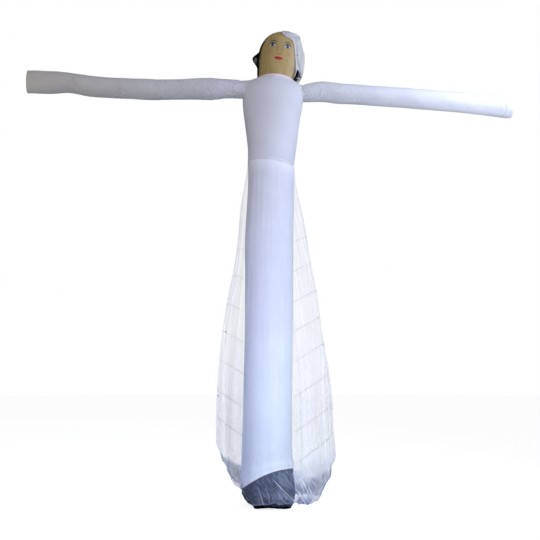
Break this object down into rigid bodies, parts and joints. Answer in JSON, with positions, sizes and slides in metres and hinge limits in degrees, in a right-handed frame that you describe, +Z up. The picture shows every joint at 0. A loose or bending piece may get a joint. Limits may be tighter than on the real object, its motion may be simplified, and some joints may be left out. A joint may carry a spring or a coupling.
{
  "type": "inflatable air dancer",
  "caption": "Blown-up tube figure of a bride with outstretched open sleeves, a domed head, a veil and a sheer overskirt drawn in over a black fan cuff.",
  "frame": {"origin": "middle of the fan cuff's mouth, on the ground", "axes": "+X to the figure's left, the viewer's right; -Y the way the figure faces; +Z up"},
  "size_m": [6.2362, 1.145, 5.9801],
  "materials": {
    "nylon_white": "smooth coated nylon, soft sheen",
    "cuff_black": "matt doubled nylon",
    "skin_cloth": "smooth printed nylon",
    "hair_black": "satin nylon",
    "veil_white": "soft thin nylon",
    "tape_white": "woven tape",
    "tulle_white": "sheer tulle"
  },
  "bodies": {
    "root": {"base_cuff": "cuff_black", "lower_tube": "nylon_white", "torso": "nylon_white", "right_sleeve": "nylon_white", "left_sleeve": "nylon_white", "head": "skin_cloth", "hair": "hair_black", "veil": "veil_white", "waist_tape": "tape_white", "overskirt": "tulle_white"}
  },
  "joints": []
}
